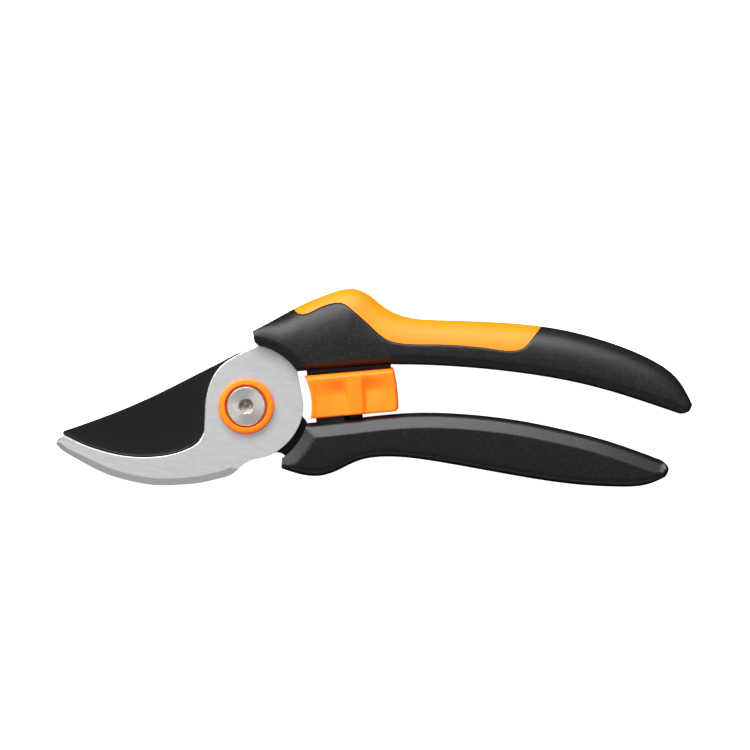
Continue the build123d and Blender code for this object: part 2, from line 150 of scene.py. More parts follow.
def joined(*sides):
    """Sides laid end to end as one closed outline with no point twice."""
    return [point for side in sides for point in side[:-1]]


class Nearness:
    """How far points lie from some curves."""

    def __init__(self, *curves):
        fine = [q for c in curves for a, b in zip(c, c[1:]) for q in line(a, b, 0.12)]
        self.tree = KDTree(len(fine))
        for i, (x, y) in enumerate(fine):
            self.tree.insert((x, y, 0), i)
        self.tree.balance()

    def __call__(self, x, y):
        return self.tree.find((x, y, 0))[2]


# ---- how a surface drops towards its edges --------------------------------------------------
def round_drop(distance, size):
    """Quarter-round edge: size is (inwards, down)."""
    wide, deep = size
    left = max(0.0, 1 - distance / wide)
    return deep * (1 - math.sqrt(max(0.0, 1 - left * left)))


def bevel_drop(distance, size):
    """Flat bevel: size is (inwards, down)."""
    wide, deep = size
    return deep * (1 - distance / wide)


def softest(a, b, soft):
    """The larger of two drops, with the crease between them rounded."""
    near = max(soft - abs(a - b), 0) / soft
    return max(a, b) + near * near * soft / 4


def ease(value, low, high):
    """0 below low, 1 above high, smooth between."""
    t = min(1, max(0, (value - low) / (high - low)))
    return t * t * (3 - 2 * t)


# ---- meshes ---------------------------------------------------------------------------------
def inside_points(outline, rings, step):
    """Points that fill an outline: rows along its edge, then an even field."""
    edge = Nearness(outline + outline[:1])
    count = len(outline)
    area = sum(outline[i - 1][0] * q[1] - q[0] * outline[i - 1][1]
               for i, q in enumerate(outline))
    turn = 1 if area > 0 else -1
    xs, ys = [q[0] for q in outline], [q[1] for q in outline]
    found = []
    for depth in rings:
        for i, (x, y) in enumerate(outline):
            before, after = outline[i - 1], outline[(i + 1) % count]
            dx, dy = after[0] - before[0], after[1] - before[1]
            length = math.hypot(dx, dy) or 1
            px, py = x - turn * dy / length * depth, y + turn * dx / length * depth
            if edge(px, py) > depth * 0.93:
                found.append((px, py))
    margin = (rings[-1] if rings else 0) + step * 0.6
    rows = int((max(ys) - min(ys)) / (step * 0.866)) + 1
    for row in range(rows):
        y = min(ys) + row * step * 0.866
        x = min(xs) + (row % 2) * step / 2
        while x < max(xs):
            if edge(x, y) > margin:
                found.append((x, y))
            x += step
    return found


def plate(outline, top, bottom, rings=(), step=1.0, extra=()):
    """A closed mesh over an outline, between a top and a bottom height function.

    rings are distances from the edge that get a row of points, extra is further points."""
    count = len(outline)
    points = outline + inside_points(outline, rings, step) + list(extra)
    loop = [(i, (i + 1) % count) for i in range(count)]
    flat, _, faces, *_ = delaunay_2d_cdt([Vector(q) for q in points], loop, [], 1, 1e-5)
    edge_use = {}
    for face in faces:
        for a, b in zip(face, face[1:] + face[:1]):
            edge_use[frozenset((a, b))] = edge_use.get(frozenset((a, b)), 0) + 1
    mesh = bmesh.new()
    upper = [mesh.verts.new((q.x, q.y, top(q.x, q.y))) for q in flat]
    lower = [mesh.verts.new((q.x, q.y, bottom(q.x, q.y))) for q in flat]
    for face in faces:
        mesh.faces.new([upper[i] for i in face])
        mesh.faces.new([lower[i] for i in reversed(face)])
        for a, b in zip(face, face[1:] + face[:1]):
            if edge_use[frozenset((a, b))] == 1:
                mesh.faces.new([upper[b], upper[a], lower[a], lower[b]])
    loose = [v for v in mesh.verts if not v.link_faces]
    bmesh.ops.delete(mesh, geom=loose, context="VERTS")
    bmesh.ops.recalc_face_normals(mesh, faces=mesh.faces)
    return mesh


def merged(meshes):
    """Several meshes as one."""
    whole = bmesh.new()
    for mesh in meshes:
        copy = bpy.data.meshes.new("part")
        mesh.to_mesh(copy)
        whole.from_mesh(copy)
        mesh.free()
        bpy.data.meshes.remove(copy)
    return whole


def piece(name, mesh, body, look, stands_for, tilt=0.0, crease=38):
    """Turns a mesh in millimetres into a shown piece that rides on a body."""
    bmesh.ops.rotate(mesh, verts=mesh.verts, matrix=Matrix.Rotation(tilt, 3, "Z"))
    bmesh.ops.scale(mesh, vec=(MM, MM, MM), verts=mesh.verts)
    data = bpy.data.meshes.new(name)
    mesh.to_mesh(data)
    mesh.free()
    data.shade_smooth()
    data.set_sharp_from_angle(angle=math.radians(crease))
    made = bpy.data.objects.new(name, data)
    bpy.context.scene.collection.objects.link(made)
    data.materials.append(look)
    if body:
        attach(made, body)
    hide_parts(*stands_for)
    return made


def drill(made, places, radius, low, high):
    """Round holes in a piece, from low to high."""
    for x, y in places:
        cutter = bmesh.new()
        bmesh.ops.create_cone(cutter, cap_ends=True, segments=48, radius1=radius * MM,
                              radius2=radius * MM, depth=(high - low) * MM)
        move = Vector((x, y, (low + high) / 2)) * MM
        bmesh.ops.translate(cutter, verts=cutter.verts, vec=move)
        data = bpy.data.meshes.new("cutter")
        cutter.to_mesh(data)
        cutter.free()
        tool = bpy.data.objects.new("cutter", data)
        bpy.context.scene.collection.objects.link(tool)
        change = made.modifiers.new("hole", "BOOLEAN")
        change.object = tool
        change.operation = "DIFFERENCE"
        change.solver = "EXACT"
        bpy.context.view_layer.update()
        seen = made.evaluated_get(bpy.context.evaluated_depsgraph_get())
        kept = bpy.data.meshes.new_from_object(seen)
        made.modifiers.remove(change)
        made.data = kept
        bpy.data.objects.remove(tool)


# ---- materials ------------------------------------------------------------------------------
class Look:
    """A material whose colour, roughness and relief come from procedural nodes."""

    def __init__(self, name, metallic=0.0, specular=0.5):
        self.material = bpy.data.materials.new(name)
        self.material.use_nodes = True
        self.tree = self.material.node_tree
        self.shader = self.tree.nodes["Principled BSDF"]
        self.shader.inputs["Metallic"].default_value = metallic
        self.shader.inputs["Specular IOR Level"].default_value = specular
        self.place = self.tree.nodes.new("ShaderNodeTexCoord").outputs["Object"]

    def link(self, out, into):
        self.tree.links.new(out, into)

    def grain(self, size, detail=2.0, stretch=(1, 1, 1), turn=0.0, place=None, rough=0.5):
        """Noise whose spots are about size millimetres wide."""
        mapping = self.tree.nodes.new("ShaderNodeMapping")
        mapping.vector_type = "TEXTURE"
        mapping.inputs["Scale"].default_value = stretch
        mapping.inputs["Rotation"].default_value = (0, 0, turn)
        self.link(place or self.place, mapping.inputs["Vector"])
        noise = self.tree.nodes.new("ShaderNodeTexNoise")
        noise.inputs["Scale"].default_value = 1 / (size * MM)
        noise.inputs["Detail"].default_value = detail
        noise.inputs["Roughness"].default_value = rough
        self.link(mapping.outputs["Vector"], noise.inputs["Vector"])
        return noise.outputs["Fac"]

    def radius(self):
        """Distance from the pivot axis."""
        apart = self.tree.nodes.new("ShaderNodeSeparateXYZ")
        self.link(self.place, apart.inputs[0])
        flat = self.tree.nodes.new("ShaderNodeCombineXYZ")
        self.link(apart.outputs["X"], flat.inputs["X"])
        self.link(apart.outputs["Y"], flat.inputs["Y"])
        length = self.tree.nodes.new("ShaderNodeVectorMath")
        length.operation = "LENGTH"
        self.link(flat.outputs[0], length.inputs[0])
        return length.outputs["Value"]

    def rings(self):
        """Place measured outwards from the pivot axis, for turned faces."""
        out = self.tree.nodes.new("ShaderNodeCombineXYZ")
        self.link(self.radius(), out.inputs["X"])
        return out.outputs[0]

    def walls(self):
        """1 on walls, 0 on faces that look along the pivot axis; it masks the shade painted on
        walls.
        """
        shape = self.tree.nodes.new("ShaderNodeNewGeometry")
        apart = self.tree.nodes.new("ShaderNodeSeparateXYZ")
        self.link(shape.outputs["Normal"], apart.inputs[0])
        size = self.tree.nodes.new("ShaderNodeMath")
        size.operation = "ABSOLUTE"
        self.link(apart.outputs["Z"], size.inputs[0])
        return self.level(size.outputs[0], 1.0, 0.0, 0.1, 0.55)

    def ramp(self, value, stops):
        """Colours by value; stops is [(value, colour), ...]."""
        ramp = self.tree.nodes.new("ShaderNodeValToRGB")
        band = ramp.color_ramp
        while len(band.elements) < len(stops):
            band.elements.new(0.5)
        for element, (at, colour) in zip(band.elements, stops):
            element.position = at
            element.color = (*colour, 1)
        self.link(value, ramp.inputs["Fac"])
        return ramp.outputs["Color"]

    def level(self, value, low, high, start=0.3, end=0.7):
        """A number between low and high by value."""
        span = self.tree.nodes.new("ShaderNodeMapRange")
        span.inputs["From Min"].default_value = start
        span.inputs["From Max"].default_value = end
        span.inputs["To Min"].default_value = low
        span.inputs["To Max"].default_value = high
        self.link(value, span.inputs["Value"])
        return span.outputs["Result"]

    def mix(self, factor, a, b):
        """Two colours mixed; each may be an output or a plain colour."""
        mix = self.tree.nodes.new("ShaderNodeMix")
        mix.data_type = "RGBA"
        colour_inputs = [s for s in mix.inputs if s.type == "RGBA"]
        for value, socket in ((factor, mix.inputs["Factor"]), (a, colour_inputs[0]),
                              (b, colour_inputs[1])):
            if isinstance(value, bpy.types.NodeSocket):
                self.link(value, socket)
            elif socket.type == "RGBA":
                socket.default_value = (*value, 1)
            else:
                socket.default_value = value
        return [s for s in mix.outputs if s.type == "RGBA"][0]

    def edge_highlight(self, radius):
        """1 near sharp edges, 0 on flats: where the rounded normal leaves the true one. It masks the
        highlights painted on edges.
        """
        bevel = self.tree.nodes.new("ShaderNodeBevel")
        bevel.samples = 6
        bevel.inputs["Radius"].default_value = radius * MM
        true = self.tree.nodes.new("ShaderNodeNewGeometry")
        dot = self.tree.nodes.new("ShaderNodeVectorMath")
        dot.operation = "DOT_PRODUCT"
        self.link(bevel.outputs[0], dot.inputs[0])
        self.link(true.outputs["Normal"], dot.inputs[1])
        return self.level(dot.outputs["Value"], 1.0, 0.0, 0.75, 0.99)

    def soft_edge(self, radius):
        """Normals rounded over sharp edges."""
        bevel = self.tree.nodes.new("ShaderNodeBevel")
        bevel.samples = 6
        bevel.inputs["Radius"].default_value = radius * MM
        return bevel.outputs[0]

    def relief(self, value, deep, strength=1.0, normal=None):
        """Small bumps, deep millimetres high."""
        bump = self.tree.nodes.new("ShaderNodeBump")
        bump.inputs["Distance"].default_value = deep * MM
        bump.inputs["Strength"].default_value = strength
        self.link(value, bump.inputs["Height"])
        if normal is not None:
            self.link(normal, bump.inputs["Normal"])
        return bump.outputs["Normal"]

    def finish(self, colour, roughness, normal=None):
        self.link(colour, self.shader.inputs["Base Color"])
        self.link(roughness, self.shader.inputs["Roughness"])
        if normal is not None:
            self.link(normal, self.shader.inputs["Normal"])
        return self.material


def textured_plastic(name, dark, speck, rough):
    """Hard plastic from a spark-eroded mould: fine pale specks and broad, faint clouds."""
    look = Look(name, specular=0.3)
    specks = look.grain(0.55, 3.0, rough=0.75)
    clouds = look.grain(22.0, 2.0)
    colour = look.ramp(specks, [(0.48, dark), (0.6, speck), (0.75, tuple(c * 2.2 for c in speck))])
    colour = look.mix(look.level(clouds, 0.0, 0.4), colour, dark)
    # painted highlight: edges lightened towards the pale speck colour
    edge = look.edge_highlight(0.25)
    colour = look.mix(look.level(edge, 0.0, 0.4, 0.0, 1.0), colour, speck)
    return look.finish(colour, look.level(specks, rough - 0.05, rough + 0.08),
                       look.relief(specks, 0.045, 0.6, look.soft_edge(0.15)))


def smooth_plastic(name, dark, light, deep, rough):
    """Signal-coloured satin plastic, with painted light: a faint red glow lifts its shaded parts,
    its walls are painted a deeper red as shade, and its edges are painted lighter as a highlight.
    """
    look = Look(name, specular=0.35)
    # painted glow: the plastic emits a faint red light, so its shaded parts read red-orange instead
    # of brown
    look.shader.inputs["Emission Color"].default_value = (1.0, 0.03, 0.002, 1)
    look.shader.inputs["Emission Strength"].default_value = 0.22
    clouds = look.grain(9.0, 3.0)
    fine = look.grain(0.6, 2.0)
    colour = look.ramp(clouds, [(0.3, dark), (0.7, light)])
    # painted shade: walls, which face sideways, mixed towards the darker red shade colour
    colour = look.mix(look.walls(), colour, deep)
    # painted highlight: edges lightened towards pale orange
    edge = look.edge_highlight(0.2)
    colour = look.mix(look.level(edge, 0.0, 0.12, 0.0, 1.0), colour, (1.0, 0.5, 0.2))
    return look.finish(colour, look.level(fine, rough - 0.05, rough + 0.06),
                       look.relief(fine, 0.008, 0.5, look.soft_edge(0.25)))


def soft_rubber(name, dark, light, rough):
    """Soft grip: satin, very slightly cloudy, with a fine matt grain."""
    look = Look(name, specular=0.32)
    clouds = look.grain(14.0, 3.0)
    fine = look.grain(0.5, 2.0)
    colour = look.ramp(clouds, [(0.3, dark), (0.7, light)])
    return look.finish(colour, look.level(fine, rough - 0.05, rough + 0.07),
                       look.relief(fine, 0.012, 0.5))


def brushed_steel(name, dark, light, rough, turn):
    """Flat ground steel: fine straight streaks, and edges painted brighter as a highlight."""
    look = Look(name, metallic=1.0)
    streaks = look.grain(0.35, 3.0, stretch=(14.0, 0.8, 1.0), turn=turn, rough=0.7)
    scratches = look.grain(0.2, 2.0, stretch=(30.0, 0.7, 1.0), turn=turn + math.radians(6))
    clouds = look.grain(9.0, 3.0)
    colour = look.ramp(streaks, [(0.3, dark), (0.7, light)])
    colour = look.mix(look.level(clouds, 0.0, 0.35), colour, dark)
    colour = look.mix(look.level(scratches, 0.0, 0.4, 0.6, 0.8), colour, (0.9, 0.9, 0.91))
    # painted highlight: edges lightened towards near white
    edge = look.edge_highlight(0.15)
    colour = look.mix(look.level(edge, 0.0, 0.8, 0.0, 1.0), colour, (0.97, 0.97, 0.98))
    return look.finish(colour, look.level(streaks, rough - 0.04, rough + 0.05),
                       look.relief(streaks, 0.002, 0.35, look.soft_edge(0.1)))


def turned_steel(name, dark, light, rough):
    """Lathe-turned steel: rings about the pivot axis, their sheen, and a hex socket made rougher and
    painted darker and browner as shade.
    """
    look = Look(name, metallic=1.0)
    lines = look.grain(0.12, 2.0, place=look.rings())
    clouds = look.grain(1.6, 3.0)
    colour = look.ramp(lines, [(0.3, dark), (0.7, light)])
    colour = look.mix(look.level(clouds, 0.0, 0.4), colour, tuple(c * 0.75 for c in dark))
    # painted highlight: edges lightened towards near white
    edge = look.edge_highlight(0.2)
    colour = look.mix(look.level(edge, 0.0, 0.7, 0.0, 1.0), colour, (0.97, 0.96, 0.95))
    # painted shade: inside the hex socket the colour turns dark brownish grey, and it is made
    # rougher
    socket = look.level(look.radius(), 1.0, 0.0, 2.35 * MM, 2.6 * MM)
    colour = look.mix(socket, colour, look.ramp(clouds, [(0.35, (0.22, 0.18, 0.165)),
                                                         (0.6, (0.5, 0.43, 0.4))]))
    roughness = look.mix(socket, look.level(clouds, rough - 0.05, rough + 0.08),
                         (0.6, 0.6, 0.6))
    around = look.tree.nodes.new("ShaderNodeTangent")
    around.direction_type = "RADIAL"
    around.axis = "Z"
    look.link(around.outputs["Tangent"], look.shader.inputs["Tangent"])
    look.shader.inputs["Anisotropic"].default_value = 0.55
    return look.finish(colour, roughness, look.relief(lines, 0.004, 0.4, look.soft_edge(0.1)))


def coated_steel(name, dark, light, rough):
    """Black low-friction coating over ground steel."""
    look = Look(name, specular=0.22)
    fine = look.grain(0.35, 3.0, rough=0.7)
    streaks = look.grain(0.5, 2.0, stretch=(12.0, 1.0, 1.0), turn=math.radians(22))
    colour = look.ramp(fine, [(0.3, dark), (0.7, light)])
    colour = look.mix(look.level(streaks, 0.0, 0.25), colour, tuple(c * 1.3 for c in light))
    # painted highlight: edges of the black coating lightened to dark grey
    edge = look.edge_highlight(0.15)
    colour = look.mix(look.level(edge, 0.0, 0.45, 0.0, 1.0), colour, (0.12, 0.12, 0.125))
    return look.finish(colour, look.level(fine, rough - 0.05, rough + 0.08),
                       look.relief(fine, 0.01, 0.5, look.soft_edge(0.1)))


def looks():
    """Every material, by a short name."""
    return {
        "upper": textured_plastic("handle charcoal", (0.006, 0.006, 0.007),
                                  (0.016, 0.016, 0.018), 0.38),
        "lower": textured_plastic("handle black", (0.004, 0.004, 0.0048),
                                  (0.012, 0.012, 0.0135), 0.335),
        "rail": textured_plastic("rail grey", (0.008, 0.009, 0.011), (0.02, 0.021, 0.024), 0.42),
        # the orange plastic's third colour is the shade painted on its walls
        "orange": smooth_plastic("orange plastic", (1.0, 0.215, 0.004), (1.0, 0.24, 0.007),
                                 (0.6, 0.03, 0.004), 0.4),
        "grip": soft_rubber("yellow soft grip", (1.0, 0.225, 0.0003), (1.0, 0.245, 0.0006), 0.5),
        "hook": brushed_steel("hook steel", (0.76, 0.77, 0.785), (0.86, 0.87, 0.885), 0.42,
                              math.radians(-14)),
        "bolt": turned_steel("bolt steel", (0.72, 0.69, 0.655), (0.84, 0.81, 0.775), 0.36),
        "plated": turned_steel("plated steel", (0.42, 0.42, 0.42), (0.55, 0.55, 0.56), 0.35),
        "blade": coated_steel("blade coating", (0.0030, 0.0030, 0.0034), (0.0055, 0.0055, 0.006),
                              0.42),
        "spring": coated_steel("spring wire", (0.02, 0.02, 0.021), (0.04, 0.04, 0.042), 0.35),
    }


# ---- hook -----------------------------------------------------------------------------------
def hook_sides():
    """The hook blade's outline as named sides: jaw, throat, tang, head, outer edge and tip."""
    return {
        "jaw": curve(JAW),
        "throat": curve([(-14.5, -8.6), (-14.3, -4.0), (-14.1, 0.7), (-13.4, 5.0), (-12.1, 8.8),
                         (-10.4, 11.8), (-8.3, 14.2), (-4.7, 16.7), (-1.0, 18.7), (4.2, 20.9)]),
        "tang": [(4.2, 20.9), (7.0, 25.0), (16.0, 29.0), (30.0, 30.0), (48.0, 26.5),
                 (76.0, 23.0), (76.0, 18.8), (50.0, 20.5), (30.0, 19.5), (20.0, 17.0),
                 (17.4, 12.2)],
        "head": curve([(17.4, 12.2), (18.5, 6.4), (19.5, 0.0), (18.4, -5.9), (13.3, -13.3),
                       (6.2, -17.5), (1.1, -18.8), (-0.8, -19.9), (-3.0, -21.8)]),
        "outer": curve([(-3.0, -21.8), (-5.0, -23.4), (-9.4, -24.9), (-15.1, -26.2),
                        (-22.7, -27.0), (-30.0, -27.2), (-40.0, -25.7), (-48.3, -23.2),
                        (-56.6, -19.1), (-61.2, -16.5), (-64.8, -13.7), (-65.4, -12.4),
                        (-65.2, -11.8)]),
        "tip": line((-65.2, -11.8), (-62.9, -9.8)),
    }


def hook_piece(look):
    """The hook blade: ground outer bevel, and a small chamfer along jaw, throat and tip."""
    sides = hook_sides()
    inner = Nearness(sides["jaw"], sides["throat"], sides["tip"])
    outer = Nearness(sides["outer"])

    def top(x, y):
        wide, deep = HOOK_BEVEL
        wide *= HOOK_BEVEL_AT_TIP + (1 - HOOK_BEVEL_AT_TIP) * ease(x, -66.0, -50.0)
        end_x, end_y = HOOK_BEVEL_END
        before_end = -0.27 * (x - end_x) - 0.96 * (y - end_y)
        bevel = deep * (1 - outer(x, y) / wide)
        drop = max(0.0, min(bevel, 1.4 * before_end))
        chamfer = JAW_CHAMFER + (THROAT_CHAMFER - JAW_CHAMFER) * ease(x, -20.0, -14.0)
        return HOOK_FRONT - drop - max(0.0, chamfer - inner(x, y))

    mesh = plate(joined(*sides.values()), top, lambda x, y: HOOK_BACK,
                 (0.1, 0.18, 0.3, 0.8, 1.2, 1.6, 1.9, 2.1, 2.25, 2.4, 2.6), 1.1)
    hook = piece("hook_blade_ground", mesh, "upper", look["hook"], ["hook_blade"], crease=14)
    drill(hook, [(0, 0)], BUSHING_RADIUS, HOOK_BACK - 1, HOOK_FRONT + 1)


# ---- cutting blade --------------------------------------------------------------------------
def beside(path, distances):
    """Rows of points to the left of a path, one row at each distance."""
    found = []
    for before, after in zip(path, path[2:]):
        dx, dy = after[0] - before[0], after[1] - before[1]
        length = math.hypot(dx, dy)
        middle_x, middle_y = (before[0] + after[0]) / 2, (before[1] + after[1]) / 2
        for distance in distances:
            found.append((middle_x - dy / length * distance, middle_y + dx / length * distance))
    return found


def cutter_piece(look):
    """The coated blade: a fine line beside the jaw, an eased spine, the edge ground behind."""
    back, front = CUTTER
    away, half, deep = CUTTER_LINE
    spine = curve([(-62.8, -8.5), (-46.1, -2.5), (-29.6, 4.7), (-15.9, 11.6), (-7.3, 16.0),
                   (-0.4, 19.0), (2.0, 19.3)])
    crown = curve([(2.0, 19.3), (8.6, 18.0), (14.0, 13.2), (18.2, 5.8), (19.2, -3.6)])
    tang = [(19.2, -3.6), (20.4, -4.9), (22.6, -9.0), (28.0, -10.2), (80.0, -9.0),
            (80.0, -15.5), (34.0, -17.4), (20.0, -20.0), (15.0, -18.6), (12.1, -16.2),
            (10.2, -15.9)]
    heel = curve([(10.2, -15.9), (2.0, -18.0), (-7.0, -17.6), (-13.0, -17.5)])
    edge = curve([(-13.0, -17.5), (-24.0, -19.8), (-36.5, -20.4), (-47.0, -18.4),
                  (-56.5, -14.2), (-63.4, -9.4)])
    to_spine, to_edge = Nearness(spine), Nearness(edge)
    to_jaw = Nearness(curve(JAW))
    groove_path = curve(JAW[:-1])  # the groove's rows of points stop short of the throat

    def top(x, y):
        groove = deep * max(0.0, 1 - abs(to_jaw(x, y) - away) / half)
        return front - groove - max(0.0, CUTTER_SPINE_CHAMFER - to_spine(x, y))

    def bottom(x, y):
        return back + max(0.0, bevel_drop(to_edge(x, y), CUTTER_GRIND))

    outline = joined(spine, crown, tang + heel[:1], heel, edge, line(edge[-1], spine[0]))
    mesh = plate(outline, top, bottom, (0.15, 0.3, 1.5, 3.0, 4.5), 1.3,
                 beside(groove_path, (away - half, away, away + half)))
    blade = piece("cutting_blade_ground", mesh, "lower", look["blade"], ["cutting_blade"],
                  crease=14)
    drill(blade, [(0, 0)], BUSHING_RADIUS + RUNNING_GAP, back - 1, front + 1)


# ---- upper handle and its soft grip ---------------------------------------------------------
def upper_sides():
    """The upper handle's outline as named sides, from the nose round to the hollow end."""
    return {
        "back": curve([(2.3, 25.7), (9.2, 29.5), (18.5, 34.6), (29.0, 38.9), (36.0, 40.4),
                       (41.6, 38.6), (47.5, 34.0), (55.0, 30.7), (66.0, 29.6), (90.0, 28.6),
                       (108.0, 26.4), (124.0, 22.2), (138.0, 16.6), (147.5, 10.0),
                       (153.0, 0.6)]),
        "tail": curve([(153.0, 0.6), (151.6, -1.9), (149.1, -2.6)]),
        "palm": curve([(149.1, -2.6), (134.0, 2.5), (116.0, 7.6), (96.0, 11.2), (74.0, 13.5),
                       (60.0, 14.2), (50.0, 14.35)]),
        "under": line((50.0, 14.35), (17.6, 12.0)),
        "hollow": arc(UPPER_HOLLOW, 34.3, 78.9),
        "lip": line((4.1, 20.85), (2.9, 22.0)),
        "nose": line((2.9, 22.0), (2.3, 25.7)),
    }


def grip_line():
    """Where the soft grip ends on the face, from the handle's back near the nose to the tail."""
    return curve([(16.2, 33.8), (17.4, 32.1), (19.4, 31.6), (24.0, 33.3), (29.5, 35.3),
                  (32.4, 35.5), (36.5, 33.0), (43.3, 26.9), (48.5, 22.8), (54.5, 21.4),
                  (64.0, 21.2), (75.0, 20.7), (84.8, 19.6), (91.5, 19.0), (94.6, 19.8),
                  (97.9, 23.0), (101.3, 27.4)], 0.4)


def upper_pieces(look):
    """The hard handle and the grip, both under one continuous surface."""
    sides = upper_sides()
    outer = Nearness(sides["back"], sides["tail"])
    palm = Nearness(sides["palm"], sides["under"])
    nose = Nearness(sides["nose"], sides["lip"])
    hollow = Nearness(sides["hollow"])
    parting = grip_line()
    back = sides["back"]
    first, last = [min(range(len(back)), key=lambda i: math.dist(back[i], end))
                   for end in (parting[0], parting[-1])]
    parting = [back[first], *parting[1:-1], back[last]]
    seam = Nearness(parting)

    def top(x, y):
        to_back, to_palm, to_hollow = outer(x, y), palm(x, y), hollow(x, y)
        share, most = UPPER_ROUND
        share *= 1 + NOSE_BROADER * (1 - ease(x, 4.0, 26.0))
        wide = 1.5 + share * (to_back + min(to_palm, to_hollow + 2))
        most = min(most, UPPER_ROUND_SLOPE * wide)
        most *= 1 - NOSE_FLATTER * (1 - ease(x, 2.0, 12.0))
        drop = round_drop(to_back, (wide, most))
        away = ease(x, 47.0, 56.0)
        bevel = [near + (far - near) * away for near, far in zip(UPPER_BEVEL_BY_LOCK, UPPER_BEVEL)]
        drop = softest(drop, bevel_drop(to_palm, bevel), 0.3)
        drop = softest(drop, bevel_drop(math.hypot(x, y) - UPPER_HOLLOW, UPPER_END_BEVEL), 0.15)
        drop = softest(drop, round_drop(nose(x, y), NOSE_EDGE), 0.2)
        drop += round_drop(to_palm, PALM_EDGE)
        return THICK - drop

    def hard_top(x, y):
        wide, deep = PARTING_EDGE
        return top(x, y) - deep * max(0, 1 - seam(x, y) / wide)

    rings = (0.12, 0.3, 0.55, 0.9, 1.4, 2.0, 2.6, 3.1, 3.6)
    grip_outline = back[first:last] + parting[:0:-1]
    handle_outline = joined(back[:first + 1], parting, back[last:], *list(sides.values())[1:])
    grip = plate(grip_outline, top, lambda x, y: THICK - top(x, y), rings, 0.9)
    hard = plate(handle_outline, hard_top, lambda x, y: THICK - hard_top(x, y), rings, 0.9)
    piece("upper_grip_skin", grip, "upper", look["grip"], ["upper_soft_grip"])
    handle = piece("upper_handle_shell", hard, "upper", look["upper"], ["upper_handle"])
    drill(handle, SCREWS_UPPER, SCREW_POCKET[0], -1.0, SCREW_POCKET[1])


# ---- lower handle ---------------------------------------------------------------------------
def lower_sides():
    """The lower handle's outline as named sides."""
    return {
        "inner": curve([(20.9, -5.85), (30.0, -5.0), (43.0, -3.5), (56.0, -2.4), (66.0, -2.3),
                        (80.0, -3.2), (94.0, -5.0), (108.0, -7.8), (122.0, -11.3),
                        (142.6, -18.5)]),
        "tail": curve([(142.6, -18.5), (144.9, -21.4), (143.8, -24.2)]),
        "belly": curve([(143.8, -24.2), (138.6, -26.5), (127.0, -27.6), (114.0, -26.9),
                        (94.0, -24.1), (74.0, -20.5), (60.0, -18.2), (48.0, -17.3),
                        (38.0, -18.9), (31.0, -22.2), (25.0, -23.9), (18.0, -23.2),
                        (12.1, -21.3)]),
        "nose": line((12.1, -21.3), (12.3, -17.9)),
        "hollow": arc(LOWER_HOLLOW, -55.5, -15.6),
    }


def lower_piece(look):
    """The lower handle with its broad bevel."""
    sides = lower_sides()
    inner = Nearness(sides["inner"])
    belly = Nearness(sides["belly"], sides["tail"])
    nose = Nearness(sides["nose"])

    def top(x, y):
        drop = round_drop(belly(x, y), LOWER_ROUND)
        drop = softest(drop, bevel_drop(inner(x, y), LOWER_BEVEL), 0.12)
        to_hollow = math.hypot(x, y) - LOWER_HOLLOW
        drop = softest(drop, bevel_drop(to_hollow, LOWER_END_BEVEL), 0.12)
        drop = softest(drop, round_drop(nose(x, y), LOWER_NOSE_EDGE), 0.2)
        drop += round_drop(inner(x, y), LOWER_RIM)
        drop += LOWER_CROWN * max(0.0, inner(x, y) - LOWER_BEVEL[0]) ** 2
        return THICK - drop

    def bottom(x, y):
        return THICK - top(x, y)

    rings = (0.12, 0.3, 0.55, 0.9, 1.4, 2.0, 2.7, 3.4, 4.1, 4.8, 5.15, 5.3, 5.45, 5.8)
    mesh = plate(joined(*sides.values()), top, bottom, rings, 0.9)
    handle = piece("lower_handle_shell", mesh, "lower", look["lower"], ["lower_handle"])
    drill(handle, SCREWS_LOWER, SCREW_POCKET[0], -1.0, SCREW_POCKET[1])


# ---- sliding lock ---------------------------------------------------------------------------
def lock_outline(inner, outer, bottom, top, corner=0.0, step=0.45):
    """A piece of a ring about the pivot between two heights, with rounded right corners."""
    def angle(radius, height):
        return math.degrees(math.asin(height / radius))
    right = arc(outer, angle(outer, bottom + corner), angle(outer, top - corner * 0.5), step)
    left = arc(inner, angle(inner, top), angle(inner, bottom), step)
    across = math.sqrt(outer ** 2 - top ** 2) - corner * 0.5
    below = math.sqrt(outer ** 2 - bottom ** 2) - corner
    return joined(right, line(right[-1], (across, top), step), line((across, top), left[0], step),
                  left, line(left[-1], (below, bottom), step), line((below, bottom), right[0], step))


